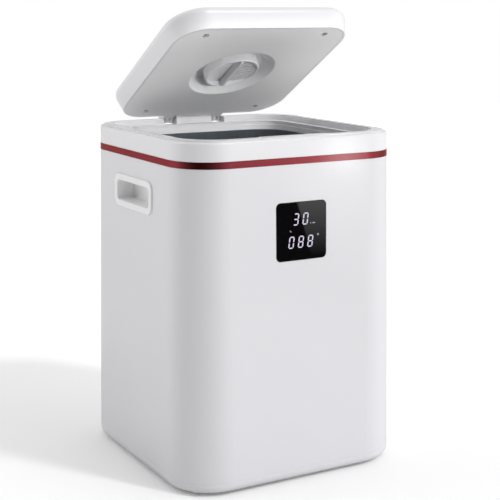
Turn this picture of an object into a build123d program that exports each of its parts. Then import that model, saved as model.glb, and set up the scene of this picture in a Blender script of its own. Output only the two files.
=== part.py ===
from build123d import *
from math import cos, radians, sin, sqrt, tan
import os

# Bucket towel warmer: a rounded square bucket that narrows upwards, with an
# aluminium liner, a touch display in front, a carrying cup in each side and a
# hinged lid with a fragrance capsule under it. Millimetres, +Z up, the origin
# on the floor under the middle of the body, the display facing -Y. The lid's
# pieces are drawn closed and then swung open about the hinge pin.

os.makedirs("parts", exist_ok=True)

# ---------------------------------------------------------------- clearances
joint_gap = 0.3       # between moulded pieces that slip into each other
layer_gap = 0.25      # between the liner, its heating film and its felt
thread_gap = 0.02     # radial, between a screw and its hole
pin_gap = 0.05        # radial, between the hinge pin and the arms that turn

# ------------------------------------------------------------ screw drives
drive_share = 0.4     # of a screw head's radius

# ------------------------------------------------------------------ the body
foot_height = 3.0
body_width = 300.0
corner_radius = 58.0
draft = 1.22          # degrees, each side leans in
wall = 2.6
tray_height = 13.0
shell_height = 359.2
band_height = 7.6
rim_height = 21.2
base_edge_radius = 10.0
tray_floor = 3.0
tongue_height = 7.0
tongue_wall = 2.2
band_thickness = 1.6
rim_edge_radius = 2.4
seam_chamfer = 0.4            # along both edges of each seam round the body

body_z = foot_height
seam_z = body_z + tray_height
band_z = seam_z + shell_height
rim_z = band_z + band_height
top_z = rim_z + rim_height
tray_top = body_z + tray_floor
slope = tan(radians(draft))


def half(z):
    """Half width of the body's outer form at height z."""
    return body_width / 2 - (z - body_z) * slope


def corner(z):
    """Plan corner radius of the body's outer form at height z."""
    return corner_radius - (z - body_z) * slope


def body_slice(low, high, inset=0.0, mode=Mode.ADD):
    """A slice of the body's outer form, drawn in by inset all round."""
    side = 2 * (half(low) - inset)
    with BuildSketch(Plane.XY.offset(low)) as outline:
        RectangleRounded(side, side, corner(low) - inset)
    extrude(outline.sketch, amount=high - low, taper=draft, mode=mode)


def square_block(low, high, half_width, radius, mode=Mode.ADD, taper=0.0):
    """An upright block with a rounded square plan about the Z axis."""
    with BuildSketch(Plane.XY.offset(low)) as outline:
        RectangleRounded(2 * half_width, 2 * half_width, radius)
    extrude(outline.sketch, amount=high - low, taper=taper, mode=mode)


def posts(places, low, high, radius, mode=Mode.ADD):
    """Upright round posts, or holes, at a list of XY places."""
    with BuildSketch(Plane.XY.offset(low)) as outline:
        with Locations(*places):
            Circle(radius)
    extrude(outline.sketch, amount=high - low, mode=mode)


def save(piece, name):
    """Label a finished piece and write its STEP file."""
    piece.part.label = name
    export_step(piece.part, "parts/" + name + ".step")


def corners_of(x, y):
    return [(x, y), (-x, y), (-x, -y), (x, -y)]


def screws(places, head_low, head_radius, head_height, shank_radius, length, up=True):
    """Pan head screws: the head starts at head_low and the shank runs on from it."""
    head_high = head_low + head_height
    with BuildPart() as group:
        posts(places, head_low, head_high, head_radius)
        if up:
            posts(places, head_high, head_high + length, shank_radius)
        else:
            posts(places, head_low - length, head_low, shank_radius)
        # drive recess in the head
        depth = head_height / 2
        drive_low = head_low if up else head_high - depth
        posts(places, drive_low, drive_low + depth, head_radius * drive_share,
              Mode.SUBTRACT)
    return group


# -------------------------------------------------------------- rubber feet
foot_radius = 11.0
foot_pocket = 1.5
foot_inset = 45.0             # of each foot's middle, from the body's widest
foot_chamfer = 0.8

foot_spread = body_width / 2 - foot_inset

with BuildPart() as rubber_feet:
    posts(corners_of(foot_spread, foot_spread), 0, foot_height + foot_pocket, foot_radius)
    chamfer(rubber_feet.edges().group_by(Axis.Z)[0], foot_chamfer)
save(rubber_feet, "rubber_feet")

# ---------------------------------------------------------------- base tray
case_screw_setback = 8.5      # inwards from the rounded corner
case_post_radius = 5.0
case_boss_radius = 6.6
case_head_radius = 3.0
case_head_height = 2.2
case_shank_radius = 1.5
case_post_height = 20.0       # from the tray's underside to the shell's bosses
case_counterbore = 14.0
case_pilot_depth = 15.0
counterbore_gap = 0.5
bucket_post_spread = 62.0
bucket_post_radius = 8.0
bucket_post_height = 31.0     # above the tray's floor
board_post_x = 40.0
board_post_y = 28.0
board_post_radius = 3.5
board_post_height = 5.0
board_shank_radius = 1.2
board_shank_length = 4.5

case_screw_spread = body_width / 2 - corner_radius + (corner_radius - case_screw_setback) / sqrt(2)
bucket_post_top = tray_top + bucket_post_height
case_corners = corners_of(case_screw_spread, case_screw_spread)
post_corners = corners_of(bucket_post_spread, bucket_post_spread)
board_corners = corners_of(board_post_x, board_post_y)
tongue_inset = wall + joint_gap
board_seat_z = tray_top + board_post_height
case_boss_low = body_z + case_post_height
case_seat_z = body_z + case_counterbore

with BuildPart() as tray_hollow:
    body_slice(tray_top, seam_z + tongue_height, wall)
    fillet(tray_hollow.edges().group_by(Axis.Z)[0], base_edge_radius - wall)

with BuildPart() as base_tray:
    body_slice(body_z, seam_z)
    fillet(base_tray.edges().group_by(Axis.Z)[0], base_edge_radius)
    chamfer(base_tray.edges().group_by(Axis.Z)[-1], seam_chamfer)
    add(tray_hollow.part, mode=Mode.SUBTRACT)
    # tongue that slips up inside the shell
    body_slice(seam_z - tongue_height / 2, seam_z, wall / 2)
    body_slice(seam_z, seam_z + tongue_height, tongue_inset)
    body_slice(tray_top + tongue_wall, seam_z + tongue_height, tongue_inset + tongue_wall,
               Mode.SUBTRACT)
    posts(post_corners, tray_top - tray_floor / 2, bucket_post_top, bucket_post_radius)
    posts(board_corners, tray_top - tray_floor / 2, board_seat_z, board_post_radius)
    posts(case_corners, tray_top - tray_floor / 2, case_boss_low, case_post_radius)
    # pockets for the feet, seats for the case screws, pilots for the board screws
    posts(corners_of(foot_spread, foot_spread), body_z, body_z + foot_pocket,
          foot_radius, Mode.SUBTRACT)
    posts(case_corners, body_z, case_seat_z, case_head_radius + counterbore_gap, Mode.SUBTRACT)
    posts(case_corners, body_z, case_boss_low, case_shank_radius + joint_gap / 2, Mode.SUBTRACT)
    posts(board_corners, board_seat_z - board_shank_length, board_seat_z,
          board_shank_radius + thread_gap, Mode.SUBTRACT)
save(base_tray, "base_tray")

# -------------------------------------------------- planes of the side walls
display_drop = 76.4           # of the display's middle, below the band
display_width = 66.2
display_height = 66.7
display_corner = 5.6
glass_proud = 0.6
handle_drop = 42.2            # of the carrying cups' middle, below the band
grip_width = 88.0
grip_height = 23.5
grip_corner = 5.0
cup_depth = 20.0
cup_wall = 2.0
bezel_border_x = 9.0
bezel_border_z = 8.0
bezel_corner = 12.0
bezel_proud = 2.0
bezel_edge_radius = 1.6
inlet_inset = 80.0            # of the inlet's middle, from the body's widest
inlet_rise = 18.0             # above the tray's seam

display_height_z = band_z - display_drop
handle_z = band_z - handle_drop
inlet_x = body_width / 2 - inlet_inset
inlet_z = seam_z + inlet_rise

lean_out = cos(radians(draft))
lean_up = sin(radians(draft))
front_face = Plane(origin=(0, -half(display_height_z), display_height_z), x_dir=(1, 0, 0),
                   z_dir=(0, -lean_out, lean_up))
back_face = Plane(origin=(inlet_x, half(inlet_z), inlet_z), x_dir=(-1, 0, 0),
                  z_dir=(0, lean_out, lean_up))
right_face = Plane(origin=(half(handle_z), 0, handle_z), x_dir=(0, 1, 0),
                   z_dir=(lean_out, 0, lean_up))

# ---------------------------------------------------------- the power inlet
inlet_bezel_width = 30.5
inlet_bezel_height = 23.5
inlet_bezel_thickness = 2.2
inlet_corner = 3.0
inlet_body_width = 27.2
inlet_body_height = 19.8
inlet_body_depth = 17.0
inlet_wall = 1.4
inlet_floor = 2.0
pin_width = 4.0
pin_thickness = 2.0
pin_spacing = 7.0
pin_rise = 2.0
pin_tail = 6.0
pin_setback = 3.0      # of the pin tips behind the socket's mouth
pin_places = [(-pin_spacing, -pin_rise), (0, pin_rise), (pin_spacing, -pin_rise)]

inlet_floor_depth = inlet_body_depth - inlet_floor
with BuildPart() as power_inlet:
    with BuildSketch(back_face):
        RectangleRounded(inlet_bezel_width, inlet_bezel_height, inlet_corner)
    extrude(amount=inlet_bezel_thickness)
    with BuildSketch(back_face):
        RectangleRounded(inlet_body_width, inlet_body_height, inlet_corner / 2)
    extrude(amount=-inlet_body_depth)
    with BuildSketch(back_face.offset(inlet_bezel_thickness)):
        RectangleRounded(inlet_body_width - 2 * inlet_wall, inlet_body_height - 2 * inlet_wall,
                         inlet_corner / 2)
    extrude(amount=-(inlet_bezel_thickness + inlet_floor_depth), mode=Mode.SUBTRACT)
    with BuildSketch(back_face):
        with Locations(*pin_places):
            Rectangle(pin_thickness + 2 * thread_gap, pin_width + 2 * thread_gap)
    extrude(amount=-inlet_body_depth, mode=Mode.SUBTRACT)
save(power_inlet, "power_inlet")

with BuildPart() as inlet_pins:
    with BuildSketch(back_face.offset(inlet_bezel_thickness - pin_setback)):
        with Locations(*pin_places):
            Rectangle(pin_thickness, pin_width)
    extrude(amount=-(inlet_bezel_thickness - pin_setback + inlet_body_depth + pin_tail))
save(inlet_pins, "inlet_pins")

# -------------------------------------------------------------- outer shell
case_boss_length = 25.0
display_boss_outset = 4.0     # beyond the housing behind the display
display_boss_radius = 3.6
display_boss_length = 5.0
housing_border = 2.65         # of the display's housing, round the glass

housing_size = display_height + 2 * housing_border
display_boss_spread = housing_size / 2 + display_boss_outset
shell_inside = front_face.offset(-wall)
display_bosses = corners_of(display_boss_spread, display_boss_spread)
with BuildPart() as outer_shell:
    body_slice(seam_z, band_z)
    chamfer(outer_shell.edges().group_by(Axis.Z)[0], seam_chamfer)
    chamfer(outer_shell.edges().group_by(Axis.Z)[-1], seam_chamfer)
    body_slice(seam_z, band_z, wall, Mode.SUBTRACT)
    # bosses for the screws that come up through the tray
    posts(case_corners, case_boss_low, case_boss_low + case_boss_length, case_boss_radius)
    posts(case_corners, case_boss_low, case_boss_low + case_pilot_depth,
          case_shank_radius + thread_gap, Mode.SUBTRACT)
    # bosses behind the display
    with BuildSketch(front_face.offset(-wall / 2)):
        with Locations(*display_bosses):
            Circle(display_boss_radius)
    extrude(amount=-(wall / 2 + display_boss_length))
    with BuildSketch(shell_inside):
        with Locations(*display_bosses):
            Circle(board_shank_radius + thread_gap)
    extrude(amount=-display_boss_length, mode=Mode.SUBTRACT)
    # windows for the display glass, the carrying cups and the power inlet
    with BuildSketch(front_face):
        RectangleRounded(display_width + 2 * joint_gap, display_height + 2 * joint_gap,
                         display_corner + joint_gap)
    extrude(amount=wall, both=True, mode=Mode.SUBTRACT)
    for side in (right_face, Plane(origin=(-half(handle_z), 0, handle_z), x_dir=(0, 1, 0),
                                   z_dir=(-lean_out, 0, lean_up))):
        with BuildSketch(side):
            RectangleRounded(grip_width + 2 * (cup_wall + joint_gap),
                             grip_height + 2 * (cup_wall + joint_gap),
                             grip_corner + cup_wall + joint_gap)
        extrude(amount=2 * wall, both=True, mode=Mode.SUBTRACT)
    with BuildSketch(back_face):
        RectangleRounded(inlet_body_width + 2 * joint_gap, inlet_body_height + 2 * joint_gap,
                         inlet_corner / 2 + joint_gap)
    extrude(amount=2 * wall, both=True, mode=Mode.SUBTRACT)
save(outer_shell, "outer_shell")

case_screws = screws(case_corners, case_seat_z - case_head_height, case_head_radius,
                     case_head_height, case_shank_radius,
                     case_boss_low - case_seat_z + case_pilot_depth - 2 * joint_gap)
save(case_screws, "case_screws")

# -------------------------------------------------------------- carrying cups
cup_mouth_radius = 1.6
cup_floor_radius = 3.0

with BuildPart() as handle_cup_right:
    with BuildSketch(right_face):
        RectangleRounded(grip_width + 2 * bezel_border_x, grip_height + 2 * bezel_border_z,
                         bezel_corner)
    extrude(amount=bezel_proud)
    fillet(handle_cup_right.edges().group_by(Axis(right_face.origin, right_face.z_dir))[-1],
           bezel_edge_radius)
    with BuildSketch(right_face):
        RectangleRounded(grip_width + 2 * cup_wall, grip_height + 2 * cup_wall,
                         grip_corner + cup_wall)
    extrude(amount=-(cup_depth + cup_wall))
    with BuildPart(mode=Mode.PRIVATE) as grip_hollow:
        with BuildSketch(right_face.offset(bezel_proud)):
            RectangleRounded(grip_width, grip_height, grip_corner)
        extrude(amount=-(cup_depth + bezel_proud))
        fillet(grip_hollow.edges().group_by(Axis(right_face.origin, right_face.z_dir))[0],
               cup_floor_radius)
    add(grip_hollow.part, mode=Mode.SUBTRACT)
    mouth = handle_cup_right.faces().sort_by(Axis(right_face.origin, right_face.z_dir))[-1]
    fillet(mouth.inner_wires()[0].edges(), cup_mouth_radius)
save(handle_cup_right, "handle_cup_right")

with BuildPart() as handle_cup_left:
    mirror(handle_cup_right.part, about=Plane.YZ)
save(handle_cup_left, "handle_cup_left")

# ------------------------------------------------------------------ trim band
with BuildPart() as trim_band:
    body_slice(band_z, rim_z)
    body_slice(band_z, rim_z, band_thickness, Mode.SUBTRACT)
save(trim_band, "trim_band")

# ------------------------------------------------------------ hinge, sizes
lid_open = 30.0               # degrees, the pose the pieces are saved in
hinge_inset = 11.0            # of the pin, from the body's widest
knuckle_radius = 5.5
hinge_pin_radius = 2.0
block_half = 25.4
block_reach = 14.4            # of the block, forwards from the pin
block_edge_radius = 2.0
washer_thickness = 0.7
washer_radius = 4.2
arm_width = 16.4
arm_gap = 0.1                 # between a washer and its neighbours
pin_head_thickness = 0.8
pin_head_radius = 3.4
block_head_radius = 2.8
block_head_height = 2.0

hinge_y = body_width / 2 - hinge_inset
hinge_z = top_z
block_front_y = hinge_y - block_reach
hinge_axis = Axis((0, hinge_y, hinge_z), (-1, 0, 0))
block_top = hinge_z + knuckle_radius
arm_start = block_half + washer_thickness + 2 * arm_gap
arm_end = arm_start + arm_width
pin_half = arm_end + arm_gap

# ---------------------------------------------------------------- rim frame
rim_wall = 18.0
opening_corner = 40.0
seat_depth = 5.0
seat_width = 11.5
seat_corner = 36.0
rim_plate = 3.0
step_height = 4.5
step_width = 1.6
lip_height = 6.5
lip_lean = 8.0
channel_wall = 2.6
liner_boss_offset = 7.0       # of the liner's screws, out from the skirt
liner_boss_radius = 3.6
liner_boss_along = 55.0
liner_shank_radius = 1.25
liner_shank_length = 6.0
front_lip_width = 95.0
front_lip_rise = 2.0
front_lip_ramp = 4.0
front_lip_setback = 3.0
notch_side_gap = 0.4          # beside the heads of the hinge pin
notch_floor_drop = 6.5        # of the notch's floor below the rim's top
notch_floor_thickness = 4.5
hinge_screw_x = 15.0
hinge_screw_reach = 8.5       # forwards from the pin
hinge_screw_radius = 1.5
hinge_screw_length = 14.0

opening_half = half(top_z) - rim_wall
seat_z = top_z - seat_depth
seat_half = opening_half - seat_width
step_z = seat_z - step_height
step_half = seat_half - step_width
lip_z = step_z - lip_height
lip_half = step_half - lip_height * tan(radians(lip_lean))
skirt_half = step_half + channel_wall
skirt_corner = seat_corner - step_width + channel_wall
channel_low = seat_z - rim_plate
notch_z = top_z - notch_floor_drop
notch_width = 2 * (pin_half + pin_head_thickness + notch_side_gap)
hinge_screw_y = hinge_y - hinge_screw_reach
liner_boss_half = skirt_half + liner_boss_offset
liner_screw_places = []
for along in (-liner_boss_along, liner_boss_along):
    liner_screw_places += [(along, liner_boss_half), (along, -liner_boss_half),
                           (liner_boss_half, along), (-liner_boss_half, along)]
hinge_screw_places = [(-hinge_screw_x, hinge_screw_y), (hinge_screw_x, hinge_screw_y)]

with BuildPart() as rim_frame:
    body_slice(rim_z, top_z)
    fillet(rim_frame.edges().group_by(Axis.Z)[-1], rim_edge_radius)
    chamfer(rim_frame.edges().group_by(Axis.Z)[0], seam_chamfer)
    body_slice(band_z, rim_z, band_thickness)
    body_slice(band_z - tongue_height, band_z, tongue_inset)
    # hollow from below: the space inside the tongue, and a channel under the rim's top
    body_slice(band_z - tongue_height, channel_low, tongue_inset + tongue_wall, Mode.SUBTRACT)
    with BuildSketch(Plane.XY.offset(channel_low)) as channel:
        channel_side = 2 * (half(channel_low) - tongue_inset - tongue_wall)
        RectangleRounded(channel_side, channel_side,
                         corner(channel_low) - tongue_inset - tongue_wall)
        RectangleRounded(2 * (opening_half + channel_wall), 2 * (opening_half + channel_wall),
                         opening_corner + channel_wall, mode=Mode.SUBTRACT)
    extrude(channel.sketch, amount=top_z - channel_wall - channel_low, mode=Mode.SUBTRACT)
    # skirt round the liner's mouth, and bosses for the liner's screws
    square_block(lip_z, channel_low, skirt_half, skirt_corner)
    posts(liner_screw_places, lip_z, channel_low, liner_boss_radius)
    # floor and cheeks of the hinge notch
    with BuildSketch(Plane.XY.offset(notch_z - notch_floor_thickness)):
        with Locations((0, (opening_half + half(top_z)) / 2 - wall / 2)):
            Rectangle(notch_width + 2 * channel_wall, rim_wall - wall)
    extrude(amount=top_z - channel_wall / 2 - notch_z + notch_floor_thickness)
    posts(hinge_screw_places, notch_z - hinge_screw_length, notch_z, liner_boss_radius)
    # the stepped mouth
    square_block(seat_z, top_z, opening_half, opening_corner, Mode.SUBTRACT)
    square_block(step_z, seat_z, seat_half, seat_corner, Mode.SUBTRACT)
    square_block(lip_z, step_z, lip_half, seat_corner - step_width, Mode.SUBTRACT, -lip_lean)
    posts(liner_screw_places, lip_z, lip_z + liner_shank_length,
          liner_shank_radius + thread_gap, Mode.SUBTRACT)
    # raised lip in the middle of the front
    front_lip_y = opening_half + (rim_wall - front_lip_setback) / 2
    with BuildSketch(Plane.XZ.offset(front_lip_y)) as lip_profile:
        with BuildLine():
            Polyline((-front_lip_width / 2, top_z - front_lip_rise),
                     (-front_lip_width / 2, top_z),
                     (-front_lip_width / 2 + front_lip_ramp, top_z + front_lip_rise),
                     (front_lip_width / 2 - front_lip_ramp, top_z + front_lip_rise),
                     (front_lip_width / 2, top_z),
                     (front_lip_width / 2, top_z - front_lip_rise), close=True)
        make_face()
    extrude(lip_profile.sketch, amount=(rim_wall - front_lip_setback) / 2, both=True)
    # the hinge notch, open through the back wall
    with BuildSketch(Plane.XY.offset(notch_z)):
        with Locations((0, opening_half + rim_wall / 2)):
            Rectangle(notch_width, rim_wall + 2 * joint_gap)
    extrude(amount=rim_height, mode=Mode.SUBTRACT)
    posts(hinge_screw_places, notch_z - hinge_screw_length, notch_z,
          hinge_screw_radius + thread_gap, Mode.SUBTRACT)
save(rim_frame, "rim_frame")

# -------------------------------------------------------------- inner bucket
bucket_wall = 1.5
bucket_draft = 0.8
bucket_corner = 38.0
bucket_floor_radius = 14.0
flange_width = 13.0
base_felt_thickness = 8.25    # under the liner, on the tray's posts

bucket_top = lip_z
bucket_half = lip_half
bucket_slope = tan(radians(bucket_draft))
bucket_floor = bucket_post_top + base_felt_thickness + layer_gap + bucket_wall


def bucket_slice(low, high, outset=0.0, mode=Mode.ADD):
    """A slice of the liner's inner form, drawn out by outset all round."""
    width = 2 * (bucket_half - (bucket_top - low) * bucket_slope + outset)
    radius = bucket_corner - (bucket_top - low) * bucket_slope + outset
    with BuildSketch(Plane.XY.offset(low)) as outline:
        RectangleRounded(width, width, radius)
    extrude(outline.sketch, amount=high - low, taper=-bucket_draft, mode=mode)


with BuildPart() as bucket_hollow:
    bucket_slice(bucket_floor, bucket_top)
    fillet(bucket_hollow.edges().group_by(Axis.Z)[0], bucket_floor_radius)

with BuildPart() as inner_bucket:
    bucket_slice(bucket_floor - bucket_wall, bucket_top, bucket_wall)
    fillet(inner_bucket.edges().group_by(Axis.Z)[0], bucket_floor_radius + bucket_wall)
    square_block(bucket_top - bucket_wall, bucket_top, bucket_half + flange_width,
                 bucket_corner + flange_width)
    add(bucket_hollow.part, mode=Mode.SUBTRACT)
    posts(liner_screw_places, bucket_top - bucket_wall, bucket_top,
          liner_shank_radius + joint_gap / 2, Mode.SUBTRACT)
save(inner_bucket, "inner_bucket")

liner_head_height = 1.8
bucket_screws = screws(liner_screw_places, bucket_top - bucket_wall - liner_head_height,
                       2 * liner_shank_radius, liner_head_height, liner_shank_radius,
                       bucket_wall + liner_shank_length - joint_gap)
save(bucket_screws, "bucket_screws")

# --------------------------------------------------- heating film and felt
film_lift = 23.0              # above the liner's floor
film_drop = 138.0             # below the liner's mouth
film_thickness = 1.2
felt_thickness = 6.0
felt_top_gap = 6.0            # below the liner's flange
base_felt_inset = 50.0        # from the body's widest
cutoff_radius = 8.0
cutoff_height = 6.0
sensor_radius = 3.0
sensor_height = 5.0
sensor_x = 32.0
pocket_gap = 2.0

film_low = bucket_floor + film_lift
film_high = bucket_top - film_drop
base_felt_half = body_width / 2 - base_felt_inset
film_inner = bucket_wall + layer_gap
felt_inner = film_inner + film_thickness + layer_gap
bucket_underside = bucket_floor - bucket_wall
felt_low = bucket_floor + bucket_floor_radius

with BuildPart() as heating_film:
    bucket_slice(film_low, film_high, film_inner + film_thickness)
    bucket_slice(film_low, film_high, film_inner, Mode.SUBTRACT)
save(heating_film, "heating_film")

with BuildPart() as insulation_wrap:
    bucket_slice(felt_low, bucket_top - felt_top_gap, felt_inner + felt_thickness)
    bucket_slice(felt_low, bucket_top - felt_top_gap, felt_inner, Mode.SUBTRACT)
save(insulation_wrap, "insulation_wrap")

with BuildPart() as insulation_base:
    square_block(bucket_post_top, bucket_underside - layer_gap, base_felt_half,
                 bucket_corner)
    posts([(0, 0)], bucket_post_top, bucket_underside, cutoff_radius + pocket_gap, Mode.SUBTRACT)
    posts([(sensor_x, 0)], bucket_post_top, bucket_underside, sensor_radius + pocket_gap,
          Mode.SUBTRACT)
save(insulation_base, "insulation_base")

with BuildPart() as thermal_cutoff:
    posts([(0, 0)], bucket_underside - cutoff_height, bucket_underside, cutoff_radius)
save(thermal_cutoff, "thermal_cutoff")

with BuildPart() as temperature_sensor:
    posts([(sensor_x, 0)], bucket_underside - sensor_height, bucket_underside, sensor_radius)
save(temperature_sensor, "temperature_sensor")

# ------------------------------------------------------------------- display
glass_thickness = wall + glass_proud
glass_chamfer = 0.4
window_border = 7.0           # of the housing's plate, round its window
housing_corner = 2.0
housing_depth = display_boss_length + 2.0
housing_wall = 1.6
housing_plate = 2.0
ear_thickness = 2.0
ear_radius = 5.0
ear_bridge = 9.0
module_gap = 1.0              # round the module, inside the window
module_depth = 4.0
board_gap = 1.4               # round the board, inside the housing
board_thickness = 1.6
control_screw_inset = 2.0     # from the board's edges
control_post_radius = 2.3

window_size = housing_size - 2 * window_border
module_size = window_size - 2 * module_gap
board_size = housing_size - 2 * (housing_wall + board_gap)
control_screw_spread = board_size / 2 - control_screw_inset

with BuildPart() as display_glass:
    with BuildSketch(front_face.offset(glass_proud)):
        RectangleRounded(display_width, display_height, display_corner)
    extrude(amount=-glass_thickness)
    chamfer(display_glass.edges().group_by(Axis(front_face.origin, front_face.z_dir))[-1],
            glass_chamfer)
save(display_glass, "display_glass")

ear_middle = display_boss_spread - ear_radius / 2
board_holes = corners_of(control_screw_spread, control_screw_spread)
with BuildPart() as display_housing:
    with BuildSketch(shell_inside):
        RectangleRounded(housing_size, housing_size, housing_corner)
    extrude(amount=-housing_depth)
    with BuildSketch(shell_inside.offset(-housing_plate)):
        Rectangle(housing_size - 2 * housing_wall, housing_size - 2 * housing_wall)
    extrude(amount=-housing_depth, mode=Mode.SUBTRACT)
    # ears that sit on the shell's bosses, and posts for the board
    with BuildSketch(shell_inside.offset(-display_boss_length)):
        with Locations(*display_bosses):
            Circle(ear_radius)
        with Locations(*corners_of(ear_middle, ear_middle)):
            Rectangle(ear_bridge, ear_bridge)
        Rectangle(housing_size - 2 * housing_wall, housing_size - 2 * housing_wall,
                  mode=Mode.SUBTRACT)
    extrude(amount=-ear_thickness)
    with BuildSketch(shell_inside.offset(-housing_plate)):
        with Locations(*board_holes):
            Circle(control_post_radius)
    extrude(amount=-(module_depth - housing_plate))
    with BuildSketch(shell_inside):
        Rectangle(window_size, window_size)
        with Locations(*display_bosses):
            Circle(board_shank_radius + thread_gap)
    extrude(amount=-housing_depth, mode=Mode.SUBTRACT)
    with BuildSketch(shell_inside.offset(-housing_plate / 2)):
        with Locations(*board_holes):
            Circle(board_shank_radius + thread_gap)
    extrude(amount=-module_depth, mode=Mode.SUBTRACT)
    # clearance for the shell's bosses
    with BuildSketch(shell_inside):
        with Locations(*display_bosses):
            Circle(display_boss_radius + joint_gap)
    extrude(amount=-display_boss_length, mode=Mode.SUBTRACT)
save(display_housing, "display_housing")

with BuildPart() as led_module:
    with BuildSketch(shell_inside):
        Rectangle(module_size, module_size)
    extrude(amount=-module_depth)
save(led_module, "led_module")

with BuildPart() as control_board:
    with BuildSketch(shell_inside.offset(-module_depth)):
        Rectangle(board_size, board_size)
        with Locations(*board_holes):
            Circle(board_shank_radius + joint_gap / 2, mode=Mode.SUBTRACT)
    extrude(amount=-board_thickness)
save(control_board, "control_board")

small_head_radius = 2.3
small_head_height = 1.6


def wall_screws(places, depth, length):
    """Small screws driven outwards from inside the front wall."""
    with BuildPart() as group:
        with BuildSketch(shell_inside.offset(-depth)):
            with Locations(*places):
                Circle(small_head_radius)
        extrude(amount=-small_head_height)
        with BuildSketch(shell_inside.offset(-depth)):
            with Locations(*places):
                Circle(board_shank_radius)
        extrude(amount=length)
    return group


display_screws = wall_screws(display_bosses, housing_depth, housing_depth - joint_gap)
save(display_screws, "display_screws")
control_board_screws = wall_screws(board_holes, module_depth + board_thickness,
                                   board_thickness + module_depth - housing_plate)
save(control_board_screws, "control_board_screws")

# -------------------------------------------------- lit digits on the display
digit_pitch = 12.5
digit_reach = 5.6             # between the upright segments' middles
digit_rise = 6.2              # between the level segments' middles
upright_length = 5.2
level_length = 4.6
segment_width = 1.3
segment_thickness = 0.25
digit_slant = 8.0             # degrees
row_x = -1.2
upper_row_z = 13.8
lower_row_z = -12.4
segments_of = {"0": "abcdef", "3": "abcdg", "8": "abcdefg"}
segment_place = {"a": (0, 1, False), "b": (0.5, 0.5, True), "c": (0.5, -0.5, True),
                 "d": (0, -1, False), "e": (-0.5, -0.5, True), "f": (-0.5, 0.5, True),
                 "g": (0, 0, False)}
rows = [("30", upper_row_z), ("088", lower_row_z)]


def digit_segments(text, row_z):
    """Middle and uprightness of each lit segment of one row of digits."""
    lit = []
    for index, character in enumerate(text):
        middle_x = row_x + (index - (len(text) - 1) / 2) * digit_pitch
        for name in segments_of[character]:
            across, up, upright = segment_place[name]
            rise = up * digit_rise
            x = middle_x + across * digit_reach + rise * tan(radians(digit_slant))
            lit.append((x, row_z + rise, upright))
    return lit


with BuildPart() as display_segments:
    with BuildSketch(front_face.offset(glass_proud)):
        for text, row_z in rows:
            for x, z, upright in digit_segments(text, row_z):
                if upright:
                    with Locations(Location((x, z), 90 - digit_slant)):
                        SlotOverall(upright_length, segment_width)
                else:
                    with Locations((x, z)):
                        SlotOverall(level_length, segment_width)
    extrude(amount=segment_thickness)
save(display_segments, "display_segments")

# small marks beside the digits: a dot and a bar, a ring, and a slanted stroke
mark_row_z = 8.2
mark_dot_x = 11.9
mark_bar_x = 15.9
mark_bar_length = 3.8
mark_width = 1.3
ring_place = (21.6, -5.6)
ring_radius = 1.3
ring_bore_radius = 0.6
stroke_place = (-14.8, 0.6)
stroke_length = 2.6
stroke_width = 1.0

with BuildPart() as display_marks:
    with BuildSketch(front_face.offset(glass_proud)):
        with Locations((mark_dot_x, mark_row_z)):
            Circle(mark_width / 2)
        with Locations((mark_bar_x, mark_row_z)):
            SlotOverall(mark_bar_length, mark_width)
        with Locations(Location(stroke_place, -45)):
            SlotOverall(stroke_length, stroke_width)
        with Locations(ring_place):
            Circle(ring_radius)
            Circle(ring_bore_radius, mode=Mode.SUBTRACT)
    extrude(amount=segment_thickness)
save(display_marks, "display_marks")

# --------------------------------------------------------------- power board
power_board_x = 92.0
power_board_y = 68.0
relay_size = (19.0, 15.5, 15.0)
relay_place = (-25.0, 12.0)
transformer_size = (26.0, 22.0, 18.0)
transformer_place = (14.0, -6.0)
capacitor_radius = 5.5
capacitor_height = 18.0
capacitor_place = (-22.0, -14.0)
connector_size = (20.0, 7.0, 8.0)
connector_place = (14.0, 24.0)

with BuildPart() as power_board:
    with BuildSketch(Plane.XY.offset(board_seat_z)):
        Rectangle(power_board_x, power_board_y)
        with Locations(*board_corners):
            Circle(board_shank_radius + joint_gap / 2, mode=Mode.SUBTRACT)
    extrude(amount=board_thickness)
save(power_board, "power_board")

board_top_z = board_seat_z + board_thickness
with BuildPart() as board_components:
    for size, place in ((relay_size, relay_place), (transformer_size, transformer_place),
                        (connector_size, connector_place)):
        with BuildSketch(Plane.XY.offset(board_top_z)):
            with Locations(place):
                Rectangle(size[0], size[1])
        extrude(amount=size[2])
    posts([capacitor_place], board_top_z, board_top_z + capacitor_height, capacitor_radius)
save(board_components, "board_components")

power_board_screws = screws(board_corners, board_top_z, small_head_radius, small_head_height,
                            board_shank_radius, board_thickness + board_shank_length - joint_gap,
                            up=False)
save(power_board_screws, "power_board_screws")

# ------------------------------------------------------------- hinge, fixed

def rod(start, end, radius, mode=Mode.ADD):
    """A round bar, or bore, along the hinge axis between two X places."""
    with BuildSketch(Plane.YZ.offset(start)) as circle:
        with Locations((hinge_y, hinge_z)):
            Circle(radius)
    extrude(circle.sketch, amount=end - start, mode=mode)


with BuildPart() as hinge_block:
    with BuildSketch(Plane.YZ) as block_profile:
        with BuildLine():
            Polyline((block_front_y, notch_z), (hinge_y, notch_z),
                     (hinge_y, block_top), (block_front_y, block_top), close=True)
        make_face()
        fillet(block_profile.vertices().group_by(Axis.Y)[-1].group_by(Axis.X)[0],
               block_edge_radius)
        with Locations((hinge_y, hinge_z)):
            Circle(knuckle_radius)
    extrude(amount=block_half, both=True)
    rod(-block_half, block_half, hinge_pin_radius + thread_gap, Mode.SUBTRACT)
    posts(hinge_screw_places, notch_z, block_top, hinge_screw_radius + joint_gap / 2,
          Mode.SUBTRACT)
    posts(hinge_screw_places, block_top - block_head_height - joint_gap, block_top,
          block_head_radius + joint_gap, Mode.SUBTRACT)
save(hinge_block, "hinge_block")

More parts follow.
